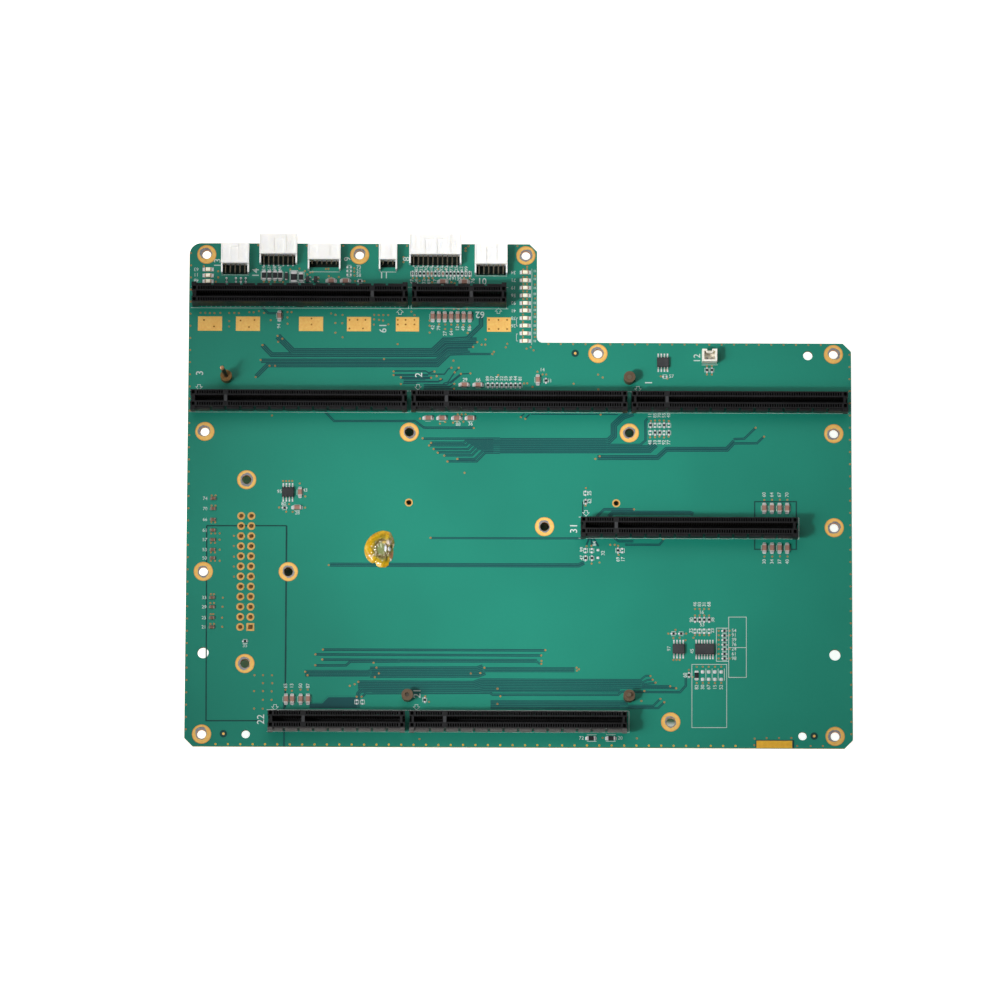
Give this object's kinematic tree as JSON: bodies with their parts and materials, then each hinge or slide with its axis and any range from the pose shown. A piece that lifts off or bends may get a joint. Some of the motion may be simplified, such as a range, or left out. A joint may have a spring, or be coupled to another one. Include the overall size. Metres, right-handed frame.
{
  "type": "backplane circuit board",
  "caption": "Green stepped backplane circuit board with keyed black card-edge slots, white wire headers along one edge, guide pins, small surface parts and plated screw holes.",
  "frame": {"origin": "centre of the four screw holes at the corners of the main field, on the underside of the board", "axes": "+X along the long side, +Y towards the edge with the wire headers, +Z out of the component side"},
  "size_m": [0.2739, 0.2132, 0.031],
  "materials": {
    "board_laminate": "green solder mask, satin gloss",
    "slot_plastic": "moulded, satin",
    "contact_metal": "gold flash over spring alloy",
    "white_nylon": "moulded, satin",
    "tinned_pin": "tin plate",
    "power_plastic": "moulded, satin",
    "collar_metal": "turned",
    "guide_steel": "drawn rod",
    "chip_plastic": "moulded",
    "led_white": "moulded",
    "led_clear": "cast resin",
    "capacitor_brown": "fired ceramic",
    "resistor_black": "glazed ceramic",
    "tape_film": "film with folds"
  },
  "bodies": {
    "root": {"board": "board_laminate", "upper_long_slot_housing": "slot_plastic", "upper_long_slot_contacts": "contact_metal", "upper_short_slot_housing": "slot_plastic", "upper_short_slot_contacts": "contact_metal", "left_slot_housing": "slot_plastic", "left_slot_contacts": "contact_metal", "middle_slot_housing": "slot_plastic", "middle_slot_contacts": "contact_metal", "right_slot_housing": "slot_plastic", "right_slot_contacts": "contact_metal", "inner_slot_housing": "slot_plastic", "inner_slot_contacts": "contact_metal", "lower_short_slot_housing": "slot_plastic", "lower_short_slot_contacts": "contact_metal", "lower_long_slot_housing": "slot_plastic", "lower_long_slot_contacts": "contact_metal", "five_way_header_housing": "white_nylon", "five_way_header_pins": "tinned_pin", "seven_way_header_housing": "white_nylon", "seven_way_header_pins": "tinned_pin", "left_six_way_header_housing": "white_nylon", "left_six_way_header_pins": "tinned_pin", "three_way_header_housing": "white_nylon", "three_way_header_pins": "tinned_pin", "ten_way_header_housing": "white_nylon", "ten_way_header_pins": "tinned_pin", "right_six_way_header_housing": "white_nylon", "right_six_way_header_pins": "tinned_pin", "upright_header_housing": "white_nylon", "upright_header_pins": "tinned_pin", "power_header_housing": "power_plastic", "power_header_pins": "tinned_pin", "guide_collars": "collar_metal", "short_guide_pins": "guide_steel", "bent_guide_pin": "guide_steel", "eight_lead_chip_bodies": "chip_plastic", "eight_lead_chip_leads": "tinned_pin", "fourteen_lead_chip_body": "chip_plastic", "fourteen_lead_chip_leads": "tinned_pin", "led_bases": "led_white", "led_lenses": "led_clear", "led_terminals": "tinned_pin", "capacitor_bodies": "capacitor_brown", "capacitor_end_caps": "tinned_pin", "resistor_bodies": "resistor_black", "resistor_end_caps": "tinned_pin", "fuse_bodies": "resistor_black", "fuse_end_caps": "tinned_pin", "small_black_chip_bodies": "chip_plastic", "small_black_chip_leads": "tinned_pin", "tape_patch": "tape_film"}
  },
  "joints": []
}
